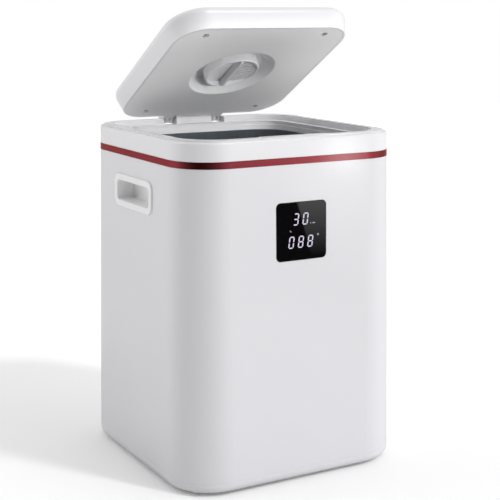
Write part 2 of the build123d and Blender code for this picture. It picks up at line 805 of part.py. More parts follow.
block_head_low = block_top - block_head_height - joint_gap
hinge_block_screws = screws(hinge_screw_places, block_head_low, block_head_radius,
                            block_head_height, hinge_screw_radius,
                            block_head_low - notch_z + hinge_screw_length - joint_gap, up=False)
save(hinge_block_screws, "hinge_block_screws")

with BuildPart() as hinge_pin:
    rod(-pin_half, pin_half, hinge_pin_radius)
    rod(pin_half, pin_half + pin_head_thickness, pin_head_radius)
    rod(-pin_half - pin_head_thickness, -pin_half, pin_head_radius)
save(hinge_pin, "hinge_pin")

with BuildPart() as hinge_washers:
    for start in (block_half + arm_gap, -block_half - arm_gap - washer_thickness):
        rod(start, start + washer_thickness, washer_radius)
        rod(start, start + washer_thickness, hinge_pin_radius + thread_gap, Mode.SUBTRACT)
save(hinge_washers, "hinge_washers")

# ----------------------------------------------------------------- lid cover
lid_inset = 36.0              # of the closed lid's sides, from the body's widest
lid_corner = 37.0
lid_back_reach = 20.5         # of the lid's back edge, forwards from the pin
lid_gap = 0.3                 # between the closed lid and its seat
lid_height = 27.0
lid_flare = 16.0              # degrees, the sides lean out
lid_wall = 2.5
lid_edge_radius = 8.0
lid_screw_inset_x = 35.0
lid_screw_inset_y = 17.0
lid_boss_radius = 4.5
lid_screw_recess = 4.5
lid_recess_radius = 4.0
recess_wall = 2.0
leaf_length = 30.0
leaf_thickness = 3.0
leaf_screw_x = (14.0, 36.0)
leaf_counterbore = 1.8
leaf_screw_back = 12.0        # of the leaf's screws, from the lid's back edge inwards
arm_height = 7.4

lid_side = body_width - 2 * lid_inset
lid_back_y = hinge_y - lid_back_reach
lid_screw_x = lid_side / 2 - lid_screw_inset_x
lid_screw_y = lid_side / 2 - lid_screw_inset_y
lid_low = seat_z + lid_gap
lid_top = lid_low + lid_height
lid_middle_y = lid_back_y - lid_side / 2
panel_top = lid_low + lid_wall
ceiling = lid_top - lid_wall
lid_screw_places = [(x, lid_middle_y + y) for x, y in corners_of(lid_screw_x, lid_screw_y)]
screw_seat_z = lid_low + lid_screw_recess
lid_boss_low = screw_seat_z + recess_wall
leaf_low = panel_top + joint_gap
leaf_seat_z = leaf_low + leaf_counterbore
leaf_screw_y = lid_back_y - lid_wall - leaf_screw_back
leaf_screw_places = [(side * x, leaf_screw_y) for side in (-1, 1) for x in leaf_screw_x]


def lid_block(low, high, inset=0.0, mode=Mode.ADD, flare=lid_flare):
    """A block with the closed lid's plan, drawn in by inset, that widens upwards."""
    width = lid_side + 2 * ((low - lid_low) * tan(radians(flare)) - inset)
    radius = lid_corner + (width - lid_side) / 2
    with BuildSketch(Plane.XY.offset(low)) as outline:
        with Locations((0, lid_middle_y)):
            RectangleRounded(width, width, radius)
    extrude(outline.sketch, amount=high - low, taper=-flare, mode=mode)


def save_open(piece, name):
    """Swing a piece that was drawn closed open with the lid, and write it."""
    opened = piece.part.rotate(hinge_axis, lid_open)
    opened.label = name
    export_step(opened, "parts/" + name + ".step")


with BuildPart() as lid_hollow:
    lid_block(lid_low, ceiling, lid_wall)
    fillet(lid_hollow.edges().group_by(Axis.Z)[-1], lid_edge_radius - lid_wall)

with BuildPart() as lid_cover:
    lid_block(lid_low, lid_top)
    fillet(lid_cover.edges().group_by(Axis.Z)[-1], lid_edge_radius)
    add(lid_hollow.part, mode=Mode.SUBTRACT)
    posts(lid_screw_places, lid_boss_low, ceiling + lid_wall / 2, lid_boss_radius)
    posts(leaf_screw_places, leaf_low + leaf_thickness, ceiling + lid_wall / 2, lid_boss_radius)
    posts(lid_screw_places, lid_boss_low, lid_boss_low + case_pilot_depth / 2,
          case_shank_radius + thread_gap, Mode.SUBTRACT)
    posts(leaf_screw_places, leaf_low, leaf_low + leaf_thickness + case_pilot_depth / 2,
          board_shank_radius + thread_gap, Mode.SUBTRACT)
    # slots that the hinge arms come out of
    with BuildSketch(Plane.XY.offset(panel_top)):
        with Locations((arm_start + arm_width / 2, lid_back_y),
                       (-arm_start - arm_width / 2, lid_back_y)):
            Rectangle(arm_width + 2 * joint_gap, 4 * lid_wall)
    extrude(amount=arm_height + 2 * joint_gap, mode=Mode.SUBTRACT)
save_open(lid_cover, "lid_cover")

# ----------------------------------------------------------- lid inner panel
dish_mouth_radius = 54.0
dish_floor_radius = 41.5
dish_depth = 12.0
dish_edge_radius = 2.0
dish_floor_fillet = 4.0
cup_hole_radius = 31.3
pointer_angle = 227.0         # about the lid's middle, from +X
stop_slot_length = 8.0
stop_slot_width = 3.0
stop_slot_radius = 44.5
stop_slot_spacing = 13.0

dish_floor_z = lid_low + dish_depth
dish_middle = (0, lid_middle_y)


def dish(low, high, low_radius, high_radius, mode=Mode.ADD):
    """A cone frustum about the lid's middle."""
    with BuildSketch(Plane.XY.offset(low)) as lower:
        with Locations(dish_middle):
            Circle(low_radius)
    with BuildSketch(Plane.XY.offset(high)) as upper:
        with Locations(dish_middle):
            Circle(high_radius)
    loft(sections=[lower.sketch.face(), upper.sketch.face()], mode=mode)


with BuildPart() as dish_hollow:
    dish(lid_low, dish_floor_z, dish_mouth_radius, dish_floor_radius)
    fillet(dish_hollow.edges().group_by(Axis.Z)[-1], dish_floor_fillet)

with BuildPart() as lid_panel:
    lid_block(lid_low, panel_top, lid_wall + joint_gap, flare=0)
    dish(lid_low, dish_floor_z + lid_wall, dish_mouth_radius + lid_wall,
         dish_floor_radius + lid_wall)
    posts(lid_screw_places, lid_low, lid_boss_low, lid_recess_radius + recess_wall)
    add(dish_hollow.part, mode=Mode.SUBTRACT)
    mouth_edge = lid_panel.edges().filter_by(GeomType.CIRCLE).group_by(Axis.Z)[0]
    fillet(mouth_edge.sort_by(SortBy.RADIUS)[-1:], dish_edge_radius)
    posts([dish_middle], dish_floor_z, dish_floor_z + lid_wall, cup_hole_radius, Mode.SUBTRACT)
    # slots for the stops, on each side of the cap's pointer
    with BuildSketch(Plane.XY.offset(lid_low)):
        with Locations(Location((*dish_middle, 0), (0, 0, pointer_angle))):
            with Locations((stop_slot_radius, stop_slot_spacing / 2),
                           (stop_slot_radius, -stop_slot_spacing / 2)):
                Rectangle(stop_slot_width, stop_slot_length)
    extrude(amount=dish_depth + lid_wall, mode=Mode.SUBTRACT)
    posts(lid_screw_places, lid_low, screw_seat_z, lid_recess_radius, Mode.SUBTRACT)
    posts(lid_screw_places, lid_low, lid_boss_low, case_shank_radius + joint_gap / 2,
          Mode.SUBTRACT)
save_open(lid_panel, "lid_panel")

lid_screws = screws(lid_screw_places, screw_seat_z - case_head_height, case_head_radius,
                    case_head_height, case_shank_radius,
                    recess_wall + case_pilot_depth / 2 - joint_gap)
save_open(lid_screws, "lid_screws")

# ---------------------------------------------------------------- lid padding
pad_thickness = 10.0
pad_inset = 12.0
pad_hole_gap = 2.0

with BuildPart() as lid_padding:
    lid_block(panel_top, panel_top + pad_thickness, pad_inset, flare=0)
    posts([dish_middle], panel_top, panel_top + pad_thickness,
          dish_mouth_radius + lid_wall + pad_hole_gap, Mode.SUBTRACT)
    posts(lid_screw_places, panel_top, panel_top + pad_thickness,
          lid_recess_radius + recess_wall + pad_hole_gap, Mode.SUBTRACT)
    with BuildSketch(Plane.XY.offset(panel_top)):
        with Locations((0, lid_back_y)):
            Rectangle(2 * (arm_end + pad_hole_gap), 2 * (leaf_length + lid_wall + pad_hole_gap))
    extrude(amount=pad_thickness, mode=Mode.SUBTRACT)
save_open(lid_padding, "lid_padding")

# ----------------------------------------------------------- hinge, on the lid
arm_ribs = 3
rib_thickness = 3.4
rib_root_y = lid_back_y - 3 * lid_wall

with BuildPart() as hinge_leaf:
    with BuildSketch(Plane.XY.offset(leaf_low)):
        with Locations((0, lid_back_y - lid_wall - joint_gap - leaf_length / 2)):
            Rectangle(2 * arm_end, leaf_length)
    extrude(amount=leaf_thickness)
    rib_pitch = (arm_width - rib_thickness) / (arm_ribs - 1)
    for side in (-1, 1):
        for rib in range(arm_ribs):
            rib_x = side * (arm_start + rib_thickness / 2 + rib * rib_pitch)
            with BuildSketch(Plane.YZ.offset(rib_x)) as rib_profile:
                with BuildLine():
                    Polyline((rib_root_y, leaf_low), (hinge_y, leaf_low),
                             (hinge_y, leaf_low + arm_height), (rib_root_y, leaf_low + arm_height),
                             close=True)
                make_face()
                with Locations((hinge_y, hinge_z)):
                    Circle(knuckle_radius)
            extrude(rib_profile.sketch, amount=rib_thickness / 2, both=True)
        # web that ties an arm's ribs together
        with BuildSketch(Plane.XY.offset(leaf_low)):
            with Locations((side * (arm_start + arm_width / 2),
                            (rib_root_y + hinge_y - knuckle_radius) / 2)):
                Rectangle(arm_width, hinge_y - knuckle_radius - rib_root_y)
        extrude(amount=leaf_thickness / 2)
    rod(-arm_end, arm_end, hinge_pin_radius + pin_gap, Mode.SUBTRACT)
    posts(leaf_screw_places, leaf_low, leaf_low + leaf_thickness,
          board_shank_radius + joint_gap / 2, Mode.SUBTRACT)
    posts(leaf_screw_places, leaf_low, leaf_seat_z, small_head_radius + joint_gap, Mode.SUBTRACT)
save_open(hinge_leaf, "hinge_leaf")

leaf_screws = screws(leaf_screw_places, leaf_seat_z - small_head_height, small_head_radius,
                     small_head_height, board_shank_radius,
                     leaf_low + leaf_thickness - leaf_seat_z + case_pilot_depth / 2 - joint_gap)
save_open(leaf_screws, "leaf_screws")

# ------------------------------------------------------- fragrance capsule
cup_wall_thickness = 1.7
cup_flange_radius = 36.0
cup_flange_thickness = 1.5
cup_top_gap = 1.5             # under the lid's ceiling
pad_radius = 27.0
pad_disc_thickness = 2.6
cap_radius = 34.0
cap_wall = 2.5
cap_face_drop = 0.2           # of the cap's face above the lid's underside
cap_edge_radius = 0.8
cap_plate = 1.6
scoop_edge_depth = 1.2
scoop_middle_depth = 7.0
grip_thickness = 3.2
grip_proud = 1.5
spigot_radius = 28.9
spigot_wall = 1.8
spigot_height = 6.5
vent_pitch = 4.2
vent_width = 2.0
vents = 14
pointer_reach = 38.8
pointer_width = 1.6
pointer_depth = 7.0

cup_top_z = ceiling - cup_top_gap
cap_face_z = lid_low + cap_face_drop
cap_back_z = dish_floor_z - joint_gap
cap_inside = cap_radius - cap_wall


def disc(low, high, radius, mode=Mode.ADD):
    """A round block about the middle of the lid."""
    posts([dish_middle], low, high, radius, mode)


with BuildPart() as fragrance_cup:
    disc(dish_floor_z, cup_top_z, cup_hole_radius - joint_gap)
    disc(dish_floor_z + lid_wall, dish_floor_z + lid_wall + cup_flange_thickness,
         cup_flange_radius)
    disc(dish_floor_z, cup_top_z - cup_wall_thickness,
         cup_hole_radius - joint_gap - cup_wall_thickness, Mode.SUBTRACT)
save_open(fragrance_cup, "fragrance_cup")

with BuildPart() as fragrance_pad:
    disc(cup_top_z - cup_wall_thickness - pad_disc_thickness, cup_top_z - cup_wall_thickness,
         pad_radius)
save_open(fragrance_pad, "fragrance_pad")


def prism(points, width, y):
    """A bar along Y with the given XZ profile, about one place."""
    with BuildSketch(Plane.XZ.offset(-y)) as profile:
        with BuildLine():
            Polyline(*points, close=True)
        make_face()
    extrude(profile.sketch, amount=width / 2, both=True)


def finger_scoop(side, edge_depth, middle_depth, inner_x, outer_x):
    """Profile of the hollow on one side of the cap's grip."""
    return [(side * inner_x, cap_face_z - grip_proud), (side * outer_x, cap_face_z - grip_proud),
            (side * outer_x, cap_face_z + edge_depth), (side * inner_x, cap_face_z + middle_depth)]


with BuildPart() as scoops:
    for side in (-1, 1):
        prism(finger_scoop(side, scoop_edge_depth, scoop_middle_depth, grip_thickness / 2,
                           cap_inside), 2 * cap_radius, dish_middle[1])
    disc(cap_face_z - grip_proud, cap_back_z, cap_inside, Mode.INTERSECT)

with BuildPart() as vent_comb:
    for side in (-1, 1):
        for index in range(vents):
            prism(finger_scoop(side, scoop_edge_depth + 2 * cap_plate,
                               scoop_middle_depth + 2 * cap_plate,
                               grip_thickness / 2 + cap_plate / 2, cap_inside),
                  vent_width, dish_middle[1] + (index - (vents - 1) / 2) * vent_pitch)
    disc(cap_face_z - grip_proud, cap_back_z - cap_plate, cap_inside - cap_plate / 2,
         Mode.INTERSECT)

with BuildPart() as cap_hollow:
    prism([(-cap_radius, cap_back_z - cap_plate), (-cap_radius, cap_face_z + scoop_edge_depth),
           (0, cap_face_z + scoop_middle_depth + cap_plate),
           (cap_radius, cap_face_z + scoop_edge_depth), (cap_radius, cap_back_z - cap_plate)],
          2 * cap_radius, dish_middle[1])
    disc(cap_face_z + scoop_edge_depth + cap_plate, cap_back_z, cap_inside, Mode.INTERSECT)

with BuildPart() as fragrance_cap:
    disc(cap_face_z, cap_back_z, cap_radius)
    fillet(fragrance_cap.edges().group_by(Axis.Z)[0], cap_edge_radius)
    disc(cap_back_z, cap_back_z + spigot_height, spigot_radius)
    # grip across the middle, standing a little proud
    with BuildSketch(Plane.XY.offset(cap_face_z - grip_proud)):
        with Locations(dish_middle):
            SlotOverall(2 * cap_inside - cap_plate, grip_thickness, rotation=90)
    extrude(amount=grip_proud + cap_plate)
    # pointer beside the stops
    with BuildSketch(Plane.XY.offset(cap_back_z - pointer_depth)):
        with Locations(Location((*dish_middle, 0), (0, 0, pointer_angle))):
            with Locations(((cap_inside + pointer_reach) / 2, 0)):
                Rectangle(pointer_reach - cap_inside, pointer_width)
    extrude(amount=pointer_depth - cap_plate)
    add(cap_hollow.part, mode=Mode.SUBTRACT)
    add(scoops.part, mode=Mode.SUBTRACT)
    add(vent_comb.part, mode=Mode.SUBTRACT)
    disc(cap_back_z - cap_plate, cap_back_z + spigot_height, spigot_radius - spigot_wall,
         Mode.SUBTRACT)
save_open(fragrance_cap, "fragrance_cap")
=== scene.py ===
"""Looks of a bucket towel warmer: finishes, lit display, two small covers and its studio.

Everything is in metres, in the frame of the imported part: +Z up, the display facing -Y.
"""
from math import cos, pi, radians, sin

import bpy
from mathutils import Euler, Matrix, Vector


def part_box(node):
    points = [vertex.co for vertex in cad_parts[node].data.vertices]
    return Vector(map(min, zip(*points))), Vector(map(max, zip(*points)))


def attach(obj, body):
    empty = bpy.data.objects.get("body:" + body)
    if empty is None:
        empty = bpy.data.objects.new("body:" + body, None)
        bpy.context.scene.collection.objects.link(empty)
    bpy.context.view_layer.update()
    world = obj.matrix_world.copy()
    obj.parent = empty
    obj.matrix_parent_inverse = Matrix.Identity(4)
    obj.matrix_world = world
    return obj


bl_info = {
    "name": "Bucket Towel Warmer",
    "version": (1, 0, 0),
    "blender": (4, 5, 0),
    "location": "3D View > Sidebar > Warmer",
    "description": "Dresses a bucket towel warmer and sets up its studio",
    "category": "Object",
}

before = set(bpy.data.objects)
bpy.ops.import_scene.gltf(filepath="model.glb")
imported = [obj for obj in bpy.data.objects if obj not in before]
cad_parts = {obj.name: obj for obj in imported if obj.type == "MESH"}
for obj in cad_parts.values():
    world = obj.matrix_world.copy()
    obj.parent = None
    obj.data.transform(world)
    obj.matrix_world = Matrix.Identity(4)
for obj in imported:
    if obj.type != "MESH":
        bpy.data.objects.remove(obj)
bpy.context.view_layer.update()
MM = 0.001
WHITE = (1, 1, 1, 1)
BLACK = (0.0, 0.0, 0.0)
# the clear coat over the glossy parts
CLEAR_COAT = {"Coat Weight": 0.4, "Coat Roughness": 0.12}
SMOOTH_BELOW = radians(35)


# ------------------------------------------------------------------ settings
class WarmerColours(bpy.types.PropertyGroup):
    """Colours of the warmer's finishes."""

    shell: bpy.props.FloatVectorProperty(
        name="Shell", description="Glossy moulded plastic of the body and the lid",
        subtype="COLOR", size=3, min=0, max=1, default=(0.775, 0.765, 0.795))
    # painted light: the rim and the lid are the same plastic as the shell, painted brighter here
    # to lighten them where shade falls under the open lid; the fragrance capsule shares this
    # colour
    rim: bpy.props.FloatVectorProperty(
        name="Rim", description="Brighter plastic of the rim, the lid and the fragrance capsule",
        subtype="COLOR", size=3, min=0, max=1, default=(0.835, 0.83, 0.847))
    lining: bpy.props.FloatVectorProperty(
        name="Lid lining", description="Satin plastic under the lid",
        subtype="COLOR", size=3, min=0, max=1, default=(0.91, 0.905, 0.91))
    band: bpy.props.FloatVectorProperty(
        name="Band", description="Metallic band under the rim",
        subtype="COLOR", size=3, min=0, max=1, default=(0.27, 0.034, 0.044))
    bucket: bpy.props.FloatVectorProperty(
        name="Bucket", description="Coated aluminium of the inner bucket",
        subtype="COLOR", size=3, min=0, max=1, default=(0.24, 0.265, 0.29))
    digits: bpy.props.FloatVectorProperty(
        name="Digits", description="Light of the digits",
        subtype="COLOR", size=3, min=0, max=1, default=(0.74, 0.68, 0.86))


class WarmerSizes(bpy.types.PropertyGroup):
    """Sizes of the finishes' patterns and the hinge's cover, and how bright the display is."""

    cover_rise: bpy.props.FloatProperty(
        name="Hinge cover", description="Height of the cap over the middle of the hinge",
        unit="LENGTH", min=0.003, default=0.0075)
    grain: bpy.props.FloatProperty(
        name="Grain", description="Width of the ripple in the moulded plastic",
        unit="LENGTH", min=0.0002, default=0.0012)
    brush_line: bpy.props.FloatProperty(
        name="Brush line", description="Width of one brushed line in the metal band",
        unit="LENGTH", min=0.00005, default=0.0002)
    digit_glow: bpy.props.FloatProperty(
        name="Digit glow", description="Brightness of the lit digits, where 1 is full",
        min=0, default=0.72)
    mark_glow: bpy.props.FloatProperty(
        name="Mark glow", description="Brightness of the small marks beside the digits",
        min=0, default=0.22)


class WarmerStage(bpy.types.PropertyGroup):
    """Camera and light of the studio."""

    lens: bpy.props.FloatProperty(
        name="Lens", description="Focal length on a 36 mm sensor",
        subtype="DISTANCE_CAMERA", min=10, default=85.47)
    camera_place: bpy.props.FloatVectorProperty(
        name="Camera place", description="Where the camera stands",
        subtype="TRANSLATION", size=3, default=(-0.69884, -1.26916, 0.54677))
    camera_tilt: bpy.props.FloatProperty(
        name="Camera tilt", description="How far the camera looks down",
        subtype="ANGLE", default=radians(11.539))
    camera_turn: bpy.props.FloatProperty(
        name="Camera turn", description="Bearing of the view, from +Y towards +X",
        subtype="ANGLE", default=radians(29.312))
    key_turn: bpy.props.FloatProperty(
        name="Key light turn", description="Bearing of the key light, from -Y towards +X",
        subtype="ANGLE", default=radians(33))
    key_height: bpy.props.FloatProperty(
        name="Key light height", description="Angle of the key light above the floor",
        subtype="ANGLE", default=radians(44))
    key_strength: bpy.props.FloatProperty(
        name="Key light", description="Strength of the key light", min=0, default=0.9)
    lid_strength: bpy.props.FloatProperty(
        name="Lid light", description="Power of the small softboxes that reach under the lid",
        unit="POWER", min=0, default=0.037)
    key_softness: bpy.props.FloatProperty(
        name="Key softness", description="Angle that the key light covers",
        subtype="ANGLE", min=0, default=radians(7))


# ------------------------------------------------------------ node materials
class Finish:
    """A node material being put together: adds nodes and links them to the shader."""

    def __init__(self, name, colour, roughness, metallic=0.0):
        self.material = bpy.data.materials.new(name)
        self.material.use_nodes = True
        self.tree = self.material.node_tree
        self.shader = self.tree.nodes["Principled BSDF"]
        self.set(self.shader, {"Base Color": (*colour, 1), "Roughness": roughness,
                               "Metallic": metallic})
        self.place = self.add("ShaderNodeTexCoord").outputs["Object"]

    def set(self, node, values):
        """Links or sets each named socket of a node."""
        for socket, value in values.items():
            if isinstance(value, bpy.types.NodeSocket):
                self.tree.links.new(value, node.inputs[socket])
            else:
                node.inputs[socket].default_value = value

    def add(self, kind, values=None, **options):
        """A new node, with its options and sockets set."""
        node = self.tree.nodes.new(kind)
        for name, value in options.items():
            setattr(node, name, value)
        self.set(node, values or {})
        return node

    def stretched(self, scale):
        """Object coordinates scaled by a factor along each axis."""
        mapping = self.add("ShaderNodeMapping", {"Vector": self.place, "Scale": scale})
        return mapping.outputs["Vector"]

    def noise(self, size, detail=3.0, stretch=(1, 1, 1), roughness=0.5):
        """Noise whose blotches are about size metres across."""
        scale = Vector(stretch) / size
        node = self.add("ShaderNodeTexNoise", {"Vector": self.stretched(scale), "Scale": 1.0,
                                               "Detail": detail, "Roughness": roughness})
        return node.outputs["Fac"]

    def spread(self, value, low, high):
        """A 0 to 1 value spread between low and high."""
        node = self.add("ShaderNodeMapRange", {"Value": value, "From Min": 0.3, "From Max": 0.7,
                                               "To Min": low, "To Max": high})
        return node.outputs["Result"]

    def mix(self, factor, first, second):
        """A blend of two colours."""
        node = self.add("ShaderNodeMix", data_type="RGBA")
        self.set(node, {0: factor, 6: first, 7: second})
        return node.outputs[2]

    def bump(self, height, distance, strength):
        """Raises the surface by a height, without moving it."""
        node = self.add("ShaderNodeBump", {"Height": height, "Distance": distance,
                                           "Strength": strength})
        self.set(self.shader, {"Normal": node.outputs["Normal"]})

    def glow(self, colour, strength):
        """Makes the surface shine by itself."""
        self.set(self.shader, {"Emission Color": colour, "Emission Strength": strength})


def shade(colour, factor):
    """A colour made darker or lighter, as a node value."""
    return (*[min(1.0, channel * factor) for channel in colour], 1)


def moulded_plastic(name, colour, roughness, grain, ripple=0.00002):
    """Injection moulded plastic: a faint ripple, and patches that are a little duller."""
    finish = Finish(name, colour, roughness)
    patches = finish.noise(0.05, detail=4)
    dull = finish.spread(patches, roughness, roughness * 1.15)
    finish.set(finish.shader, {"Roughness": dull})
    tone = finish.mix(finish.noise(0.11, detail=2), shade(colour, 0.985), shade(colour, 1.01))
    finish.set(finish.shader, {"Base Color": tone})
    finish.bump(finish.noise(grain, detail=5), ripple, 0.35)
    return finish


def glossy_plastic(name, colour, grain):
    """The moulded plastic of the case, the rim and the lid, under a clear coat."""
    finish = moulded_plastic(name, colour, 0.30, grain)
    finish.set(finish.shader, CLEAR_COAT)
    return finish


def brushed_metal(name, colour, roughness, line, along=(0.02, 0.02, 1), metallic=1.0):
    """Metal with fine brushed lines: they run along the axes with a small stretch."""
    finish = Finish(name, colour, roughness, metallic)
    lines = finish.noise(line, detail=3, stretch=along)
    finish.set(finish.shader, {
        "Base Color": finish.mix(lines, shade(colour, 0.82), shade(colour, 1.15)),
        "Roughness": finish.spread(lines, roughness * 0.8, roughness * 1.3)})
    finish.bump(lines, 0.00001, 0.4)
    return finish


def soft_felt(name, colour):
    """Pressed felt: tangled fibres over uneven blotches."""
    finish = Finish(name, colour, 0.95)
    fibres = finish.noise(0.0009, detail=6, stretch=(1, 1, 0.35), roughness=0.7)
    blotches = finish.noise(0.02, detail=3)
    tangled = finish.mix(fibres, shade(colour, 0.7), shade(colour, 1.2))
    finish.set(finish.shader, {"Base Color": finish.mix(blotches, shade(colour, 0.85), tangled),
                               "Sheen Weight": 0.4})
    finish.bump(fibres, 0.0005, 0.8)
    return finish


def circuit_board(name, colour):
    """Lacquered board: copper tracks that show through as a lighter green."""
    finish = Finish(name, colour, 0.35)
    tracks = finish.add("ShaderNodeTexBrick", {
        "Vector": finish.stretched((1, 1, 1)), "Scale": 220.0, "Mortar Size": 0.035,
        "Color1": shade(colour, 1.0), "Color2": shade(colour, 1.25),
        "Mortar": shade(colour, 2.2)}, offset=0.35)
    finish.set(finish.shader, {"Base Color": tracks.outputs["Color"], "Coat Weight": 0.5})
    finish.bump(tracks.outputs["Fac"], 0.00003, 0.5)
    return finish


def put_on(finish, *nodes):
    """Gives CAD nodes a finish in place of the one that they were packed with."""
    for name in nodes:
        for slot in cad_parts[name].material_slots:
            slot.material = finish.material


def context_object(name):
    """The object that was just added, with its name given."""
    piece = bpy.context.object
    piece.name = name
    return piece


def settings():
    """The groups of colours, sizes and studio values of the scene."""
    scene = bpy.context.scene
    return scene.warmer_colours, scene.warmer_sizes, scene.warmer_stage


# ----------------------------------------------------------------- the pieces
class WARMER_OT_body(bpy.types.Operator):
    """Gives the outer shell, tray, rim and carrying cups their moulded finish"""

    bl_idname = "warmer.body"
    bl_label = "Body"

    def execute(self, context):
        colours, sizes, _ = settings()
        shell = glossy_plastic("white_shell", colours.shell, sizes.grain)
        put_on(shell, "outer_shell", "base_tray")
        # painted light: the rim and the hinge block get the shell's plastic painted brighter, to
        # lighten the rim in the open lid's shade
        rim = glossy_plastic("white_rim_painted_lighter", colours.rim, sizes.grain)
        put_on(rim, "rim_frame", "hinge_block")
        cups = moulded_plastic("white_cup", colours.lining, 0.34, sizes.grain)
        put_on(cups, "handle_cup_left", "handle_cup_right")
        rubber = moulded_plastic("foot_rubber", (0.03, 0.03, 0.032), 0.8, 0.0006, 0.0001)
        put_on(rubber, "rubber_feet")
        return {"FINISHED"}


class WARMER_OT_band(bpy.types.Operator):
    """Gives the band under the rim its brushed metallic finish"""

    bl_idname = "warmer.band"
    bl_label = "Band"

    def execute(self, context):
        colours, sizes, _ = settings()
        band = brushed_metal("band_metal", colours.band, 0.32, sizes.brush_line)
        band.set(band.shader, {**CLEAR_COAT, "Specular Tint": (0.6, 0.16, 0.18, 1)})
        put_on(band, "trim_band")
        return {"FINISHED"}


class WARMER_OT_bucket(bpy.types.Operator):
    """Gives the inner bucket and what is wrapped round it their finishes"""

    bl_idname = "warmer.bucket"
    bl_label = "Inner bucket"

    def execute(self, context):
        colours, _, _ = settings()
        bucket = brushed_metal("bucket_metal", colours.bucket, 0.34, 0.0006, (1, 1, 0.02), 0.85)
        put_on(bucket, "inner_bucket")
        felt = soft_felt("grey_felt", (0.55, 0.54, 0.52))
        put_on(felt, "insulation_wrap", "insulation_base", "lid_padding", "fragrance_pad")
        film = moulded_plastic("heating_film", (0.45, 0.20, 0.04), 0.3, 0.002, 0.00005)
        put_on(film, "heating_film")
        return {"FINISHED"}


class WARMER_OT_display(bpy.types.Operator):
    """Gives the display its black glass and its lit digits"""

    bl_idname = "warmer.display"
    bl_label = "Display"

    def execute(self, context):
        colours, sizes, _ = settings()
        glass = Finish("display_glass", (0.0035, 0.0035, 0.004), 0.05)
        smears = glass.spread(glass.noise(0.02), 0.015, 0.03)
        glass.set(glass.shader, {"Roughness": smears, "IOR": 1.5})
        put_on(glass, "display_glass")
        for name, glow, node in (("digit_light", sizes.digit_glow, "display_segments"),
                                 ("mark_light", sizes.mark_glow, "display_marks")):
            light = Finish(name, shade(colours.digits, 0.3)[:3], 0.5)
            level = light.spread(light.noise(0.003), 0.94 * glow, 1.04 * glow)
            light.glow((*colours.digits, 1), level)
            put_on(light, node)
        return {"FINISHED"}


class WARMER_OT_lid(bpy.types.Operator):
    """Gives the lid, its lining and the fragrance capsule their finishes"""

    bl_idname = "warmer.lid"
    bl_label = "Lid"

    def execute(self, context):
        colours, sizes, _ = settings()
        # painted light: the lid gets the rim's colour, the shell's plastic painted brighter
        cover = glossy_plastic("white_lid_painted_lighter", colours.rim, sizes.grain)
        put_on(cover, "lid_cover", "hinge_leaf")
        lining = moulded_plastic("satin_lining", colours.lining, 0.42, sizes.grain * 0.6)
        put_on(lining, "lid_panel")
        capsule = moulded_plastic("capsule_white", colours.rim, 0.36, sizes.grain * 0.6)
        put_on(capsule, "fragrance_cap", "fragrance_cup")
        return {"FINISHED"}


class WARMER_OT_fittings(bpy.types.Operator):
    """Gives the screws, the hinge pin, the inlet and the electronics their finishes"""

    bl_idname = "warmer.fittings"
    bl_label = "Fittings"

    def execute(self, context):
        steel = brushed_metal("screw_steel", (0.45, 0.45, 0.46), 0.35, 0.0003, (1, 1, 1))
        put_on(steel, *[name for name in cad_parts
                        if name.endswith("screws") and name != "lid_screws"])
        dark = brushed_metal("dark_steel", (0.10, 0.10, 0.10), 0.45, 0.0003, (1, 1, 1))
        put_on(dark, "lid_screws")
        pin = brushed_metal("pin_steel", (0.60, 0.60, 0.61), 0.25, 0.0003, (0.05, 1, 1))
        put_on(pin, "hinge_pin")
        nylon = moulded_plastic("nylon_washer", (0.70, 0.70, 0.68), 0.5, 0.0008)
        put_on(nylon, "hinge_washers")
        inlet = moulded_plastic("inlet_black", (0.02, 0.02, 0.02), 0.45, 0.0006, 0.00004)
        put_on(inlet, "power_inlet")
        brass = brushed_metal("contact_brass", (0.70, 0.52, 0.24), 0.3, 0.0003, (1, 0.05, 1))
        put_on(brass, "inlet_pins")
        board = circuit_board("board_green", (0.01, 0.10, 0.035))
        put_on(board, "power_board", "control_board")
        case = moulded_plastic("component_black", (0.03, 0.03, 0.034), 0.5, 0.0008, 0.00004)
        put_on(case, "board_components", "thermal_cutoff", "temperature_sensor", "led_module")
        housing = moulded_plastic("housing_grey", (0.25, 0.25, 0.26), 0.5, 0.0008, 0.00004)
        put_on(housing, "display_housing")
        return {"FINISHED"}


def select_where(mesh, kind, wanted):
    """Selects the faces or edges of a mesh that pass a test, and goes into edit mode."""
    bpy.ops.object.mode_set(mode="EDIT")
    bpy.ops.mesh.select_mode(type=kind)
    bpy.ops.mesh.select_all(action="DESELECT")
    bpy.ops.object.mode_set(mode="OBJECT")
    for element in mesh.polygons if kind == "FACE" else mesh.edges:
        element.select = wanted(element)
    bpy.ops.object.mode_set(mode="EDIT")


def faces_up(face):
    """Whether a face looks upwards."""
    return face.normal.z > 0.9


def block(name, middle, size):
    """A plain block, to be shaped in edit mode."""
    bpy.ops.object.select_all(action="DESELECT")
    bpy.ops.mesh.primitive_cube_add(size=1, location=middle)
    piece = context_object(name)
    piece.scale = size
    bpy.ops.object.transform_apply(location=True, rotation=True, scale=True)
    return piece


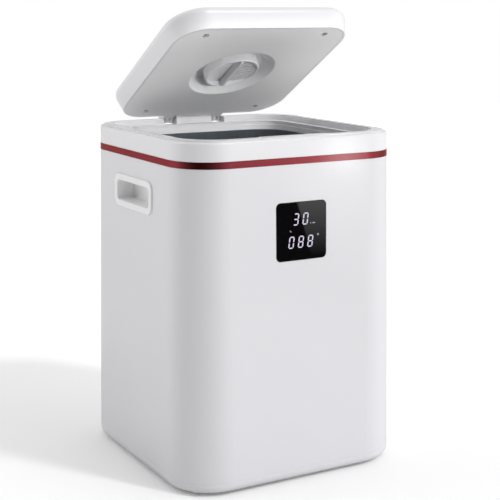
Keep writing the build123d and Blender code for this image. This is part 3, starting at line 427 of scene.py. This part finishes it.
def hinge_cover(rise):
    """The plain cap over the middle of the hinge, from the block up to the open lid."""
    low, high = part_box("hinge_block")
    side_gap, front_cut, back_gap, sunk = 0.3 * MM, 5 * MM, 1.2 * MM, 0.3 * MM
    width, depth = high.x - low.x - 2 * side_gap, high.y - low.y - front_cut
    middle = (0, high.y - depth / 2 - back_gap, high.z + rise / 2 - sunk)
    cover = block("hinge_cover", middle, (width, depth, rise))
    select_where(cover.data, "FACE", faces_up)
    # the top leans in a little, and carries a shallow step
    step_width, step_depth = 1.6 * MM, 0.5 * MM
    bpy.ops.transform.resize(value=(0.97, 0.80, 1))
    bpy.ops.mesh.inset(thickness=step_width, depth=0)
    bpy.ops.transform.translate(value=(0, 0, -step_depth))
    bpy.ops.object.mode_set(mode="OBJECT")
    edge = cover.modifiers.new("soft_edges", "BEVEL")
    edge.width, edge.segments, edge.limit_method = 0.6 * MM, 3, "ANGLE"
    bpy.ops.object.modifier_apply(modifier="soft_edges")
    bpy.ops.object.shade_smooth_by_angle(angle=SMOOTH_BELOW)
    return cover


def lip_block(name, back, front, foot, top):
    """A plain block across the middle of the rim's front, as wide as the lip."""
    width = 95.04 * MM
    middle = (0, (back + front) / 2, (foot + top) / 2)
    return block(name, middle, (width, back - front, top - foot))


def front_lip():
    """The front half of the lip on the rim, with its sloping ends and the round edge below."""
    lip_rise, rim_edge = 2 * MM, 2.4 * MM
    lip_back, lip_front, rim_front = -131.0 * MM, -138.5 * MM, -141.45 * MM
    foot_half, top_half = 47.5, 43.5
    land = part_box("rim_frame")[1].z - lip_rise
    # the rim's own rounded edge, under the lip and in front of it
    edge = lip_block("lip_edge", lip_front + 0.1 * MM, rim_front, land - 3.1 * MM, land)
    corners = edge.data.vertices

    def outer_top(line):
        ends = [corners[i].co for i in line.vertices]
        return all(end.y < rim_front + 1 * MM and end.z > land - 1 * MM for end in ends)

    select_where(edge.data, "EDGE", outer_top)
    bpy.ops.mesh.bevel(offset=rim_edge, segments=6)
    bpy.ops.object.mode_set(mode="OBJECT")
    # the lip, with ends that slope down to the rim's top
    lip = lip_block("front_lip", lip_back, lip_front, land - 2.1 * MM, land)
    select_where(lip.data, "FACE", faces_up)
    bpy.ops.mesh.extrude_region_move(TRANSFORM_OT_translate={"value": (0, 0, lip_rise)})
    bpy.ops.transform.resize(value=(top_half / foot_half, 1, 1))
    bpy.ops.object.mode_set(mode="OBJECT")
    edge.select_set(True)
    bpy.ops.object.join()
    bpy.ops.object.shade_smooth_by_angle(angle=SMOOTH_BELOW)
    return lip


class WARMER_OT_covers(bpy.types.Operator):
    """Adds the cap over the hinge, and the front half of the lip on the rim"""

    bl_idname = "warmer.covers"
    bl_label = "Covers"

    def execute(self, context):
        _, sizes, _ = settings()
        for piece in (hinge_cover(sizes.cover_rise), front_lip()):
            # painted light: the covers take the rim's finish, the shell's plastic painted
            # brighter
            piece.data.materials.append(bpy.data.materials["white_rim_painted_lighter"])
            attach(piece, "body")
        return {"FINISHED"}


# ------------------------------------------------------------------ the stage
def combine(tree, operation, first, second):
    """Two values put together by a Math node."""
    node = tree.nodes.new("ShaderNodeMath")
    node.operation = operation
    for socket, value in zip(node.inputs, (first, second)):
        if isinstance(value, bpy.types.NodeSocket):
            tree.links.new(value, socket)
        else:
            socket.default_value = value
    return node.outputs[0]


def product(tree, first, *others):
    """Values multiplied with each other."""
    for value in others:
        first = combine(tree, "MULTIPLY", first, value)
    return first


def soft_light(tree, direction, place, narrowness, strength):
    """One broad soft light of the surroundings, brightest in a given direction."""
    toward = tree.nodes.new("ShaderNodeVectorMath")
    toward.operation = "DOT_PRODUCT"
    tree.links.new(place, toward.inputs[0])
    toward.inputs[1].default_value = Vector(direction).normalized()
    facing = combine(tree, "MAXIMUM", toward.outputs["Value"], 0)
    return product(tree, combine(tree, "POWER", facing, narrowness), strength)


def dark_side(tree, place, narrowness, depth):
    """How much light is left where the studio has no lamp: towards the warmer's left corner."""
    gap = soft_light(tree, (-0.74, -0.67, 0.05), place, narrowness, depth)
    return combine(tree, "SUBTRACT", 1.0, gap)


def studio_surroundings():
    """A softbox at the right of the front, one at the left of the back, and dark between."""
    ambient, in_gloss = 0.84, 0.25
    softboxes = (((0.68, -0.73, 0.10), 8.0, 1.4), ((-0.80, 0.60, 0.10), 8.0, 1.6))
    world = bpy.data.worlds.new("studio")
    bpy.context.scene.world = world
    world.use_nodes = True
    tree = world.node_tree
    place = tree.nodes.new("ShaderNodeTexCoord").outputs["Generated"]
    rays = tree.nodes.new("ShaderNodeLightPath")
    level = ambient
    for direction, narrowness, strength in softboxes:
        lamp = soft_light(tree, direction, place, narrowness, strength)
        level = combine(tree, "ADD", lamp, level)
    level = product(tree, level, dark_side(tree, place, 1.6, 1.0))
    # a softbox is large and even, so a mirror shows it less bright than its light is
    mirrored = product(tree, rays.outputs["Is Glossy Ray"], in_gloss)
    level = product(tree, level, combine(tree, "SUBTRACT", 1.0, mirrored))
    # what the camera sees behind the warmer is plain white
    seen = rays.outputs["Is Camera Ray"]
    lit = product(tree, level, combine(tree, "SUBTRACT", 1.0, seen))
    background = tree.nodes["Background"]
    tree.links.new(combine(tree, "ADD", lit, seen), background.inputs["Strength"])
    background.inputs["Color"].default_value = WHITE


def studio_floor():
    """A pale floor that turns white far off, and that gloss shows dark on the dark side."""
    near, distant = 0.6, 2.0
    near_glow, distant_glow = 0.11, 0.6
    bpy.ops.object.select_all(action="DESELECT")
    bpy.ops.mesh.primitive_plane_add(size=8, location=(0, 0, 0))
    floor = context_object("floor")
    paper = Finish("studio_paper", (0.93, 0.93, 0.93), 0.9)
    tree = paper.tree
    rays = paper.add("ShaderNodeLightPath")
    away = paper.add("ShaderNodeVectorMath", {0: paper.place}, operation="LENGTH")
    toward = paper.add("ShaderNodeVectorMath", {0: paper.place}, operation="NORMALIZE")
    side = dark_side(tree, toward.outputs["Vector"], 2.0, 0.97)
    tone = paper.mix(paper.noise(0.4), (0.925, 0.925, 0.925, 1), (0.935, 0.935, 0.935, 1))
    # painted shade: seen in gloss, the floor's colour goes to black towards the side of the
    # studio with no lamp
    in_gloss = paper.mix(side, (*BLACK, 1), (0.68, 0.68, 0.68, 1))
    far = paper.add("ShaderNodeMapRange", {
        "Value": away.outputs["Value"], "From Min": near, "From Max": distant,
        "To Min": near_glow, "To Max": distant_glow})
    paper.set(paper.shader, {
        "Base Color": paper.mix(rays.outputs["Is Glossy Ray"], tone, in_gloss),
        "Specular IOR Level": 0.0})
    paper.glow(WHITE, product(tree, rays.outputs["Is Camera Ray"], far.outputs["Result"]))
    floor.data.materials.append(paper.material)


def upright_card(name, width, height, bearing, place):
    """A card of the studio that faces the warmer, with its finish and its own coordinates."""
    bpy.ops.object.select_all(action="DESELECT")
    bpy.ops.mesh.primitive_plane_add(size=1, location=(0, 0, 0))
    card = context_object(name + "_card")
    card.scale = (width, height, 1)
    card.rotation_euler = Euler((pi / 2, 0, bearing))
    card.location = place
    finish = Finish(name, BLACK, 1.0)
    finish.set(finish.shader, {"Specular IOR Level": 0.0})
    card.data.materials.append(finish.material)
    split = finish.add("ShaderNodeSeparateXYZ", {"Vector": finish.place})
    return card, finish, split.outputs


def only_in_gloss(card):
    """Makes a card of the studio one that is seen in gloss and nowhere else."""
    card.visible_camera = False
    card.visible_diffuse = False
    card.visible_transmission = False
    card.visible_shadow = False


def reflector_card():
    """What the display's glass mirrors: dark, with a slanted bright part that fades down."""
    bearing, aside = radians(31.4), 0.07
    width, height = 0.24, 0.26
    slant, edge_at, fade_from, brightness = 0.25, 0.009, 0.03, 14.0
    place = (sin(bearing) - aside * cos(bearing), -cos(bearing) - aside * sin(bearing), 0.15)
    card, finish, own = upright_card("reflector", width, height, bearing, place)
    tree = finish.tree
    across = product(tree, own["X"], width)
    up = product(tree, own["Y"], height)
    edge = combine(tree, "ADD", product(tree, up, slant), across)
    bright = combine(tree, "GREATER_THAN", edge, edge_at)
    fade = combine(tree, "MAXIMUM", combine(tree, "ADD", up, fade_from), 0.0)
    finish.glow(WHITE, product(tree, bright, fade, brightness))
    only_in_gloss(card)


def highlight_card():
    """A bright card at the right, low: the sheen along the band."""
    card, finish, own = upright_card("highlight", 0.11, 0.12, radians(31.7),
                                     (0.605, -0.965, 0.28))
    aside = finish.add("ShaderNodeMath", {0: own["X"]}, operation="ABSOLUTE")
    fall = finish.add("ShaderNodeMapRange", {
        "Value": aside.outputs[0], "From Min": 0.0, "From Max": 0.5,
        "To Min": 15.0, "To Max": 0.0}, interpolation_type="SMOOTHSTEP")
    finish.glow(WHITE, fall.outputs["Result"])
    only_in_gloss(card)


def beam(bearing, rise):
    """The direction from the warmer to a lamp: its bearing from -Y towards +X, and its rise."""
    return Vector((sin(bearing) * cos(rise), -cos(bearing) * cos(rise), sin(rise)))


def narrow_softbox(name, middle, bearing, rise, size, power):
    """A small softbox with a grid, whose beam is only as wide as the softbox is."""
    away = beam(bearing, rise)
    bpy.ops.object.light_add(type="AREA", location=middle + 0.6 * away)
    lamp = context_object(name)
    lamp.rotation_euler = away.to_track_quat("Z", "Y").to_euler()
    lamp.data.shape = "RECTANGLE"
    lamp.data.size, lamp.data.size_y = size
    lamp.data.spread = radians(6)
    lamp.data.energy = power
    lamp.visible_camera = False
    lamp.visible_glossy = False


def lid_lights(power):
    """Two narrow softboxes under the open lid: one down on the rim, one level at the lining."""
    low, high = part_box("rim_frame")
    rise = radians(30)
    rim_size = (0.82 * (high.x - low.x), 0.8 * (high.y - low.y) * sin(rise))
    narrow_softbox("rim_light", Vector((-0.01, 0.02, high.z)), radians(2), rise, rim_size,
                   power)
    low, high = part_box("lid_panel")
    height = high.z - low.z
    lining_size = (0.9 * (high.x - low.x), 0.6 * height)
    narrow_softbox("lining_light", Vector((0, 0.02, low.z + 0.38 * height)), radians(12),
                   radians(2), lining_size, 0.4 * power)


def key_light(stage):
    """The sun of the studio, which casts the warmer's shadow."""
    away = beam(stage.key_turn, stage.key_height)
    bpy.ops.object.light_add(type="SUN", location=3 * away)
    key = context_object("key_light")
    key.rotation_euler = away.to_track_quat("Z", "Y").to_euler()
    key.data.energy = stage.key_strength
    key.data.angle = stage.key_softness


def studio_camera(stage):
    """The camera, which becomes the scene's own."""
    bpy.ops.object.camera_add(location=stage.camera_place)
    camera = context_object("camera")
    camera.rotation_euler = Euler((pi / 2 - stage.camera_tilt, 0, -stage.camera_turn))
    camera.data.sensor_width = 36
    camera.data.lens = stage.lens
    camera.data.clip_start = 0.05
    bpy.context.scene.camera = camera


class WARMER_OT_stage(bpy.types.Operator):
    """Adds the floor, the light and the camera"""

    bl_idname = "warmer.stage"
    bl_label = "Studio"

    def execute(self, context):
        _, _, stage = settings()
        studio_floor()
        studio_surroundings()
        reflector_card()
        highlight_card()
        lid_lights(stage.lid_strength)
        key_light(stage)
        studio_camera(stage)
        context.scene.view_settings.view_transform = "Standard"
        return {"FINISHED"}


class WARMER_PT_panel(bpy.types.Panel):
    """Lists the warmer's pieces in the sidebar"""

    bl_label = "Bucket Towel Warmer"
    bl_idname = "WARMER_PT_panel"
    bl_space_type = "VIEW_3D"
    bl_region_type = "UI"
    bl_category = "Warmer"

    def draw(self, context):
        layout = self.layout
        for group in (context.scene.warmer_colours, context.scene.warmer_sizes,
                      context.scene.warmer_stage):
            box = layout.box()
            for name in group.bl_rna.properties.keys():
                if name not in ("rna_type", "name"):
                    box.prop(group, name)
        for operator in OPERATORS:
            layout.operator(operator.bl_idname)


OPERATORS = (WARMER_OT_body, WARMER_OT_covers, WARMER_OT_band, WARMER_OT_bucket,
             WARMER_OT_display, WARMER_OT_lid, WARMER_OT_fittings, WARMER_OT_stage)
GROUPS = (WarmerColours, WarmerSizes, WarmerStage)


def register():
    """Adds the classes and their settings to Blender."""
    for cls in (*GROUPS, *OPERATORS, WARMER_PT_panel):
        bpy.utils.register_class(cls)
    bpy.types.Scene.warmer_colours = bpy.props.PointerProperty(type=WarmerColours)
    bpy.types.Scene.warmer_sizes = bpy.props.PointerProperty(type=WarmerSizes)
    bpy.types.Scene.warmer_stage = bpy.props.PointerProperty(type=WarmerStage)


def unregister():
    """Takes the classes and their settings out again."""
    del bpy.types.Scene.warmer_stage
    del bpy.types.Scene.warmer_sizes
    del bpy.types.Scene.warmer_colours
    for cls in reversed((*GROUPS, *OPERATORS, WARMER_PT_panel)):
        bpy.utils.unregister_class(cls)


def main():
    """Registers the add-on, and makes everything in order."""
    register()
    for operator in OPERATORS:
        group, name = operator.bl_idname.split(".")
        getattr(getattr(bpy.ops, group), name)()


if __name__ == "__main__":
    main()
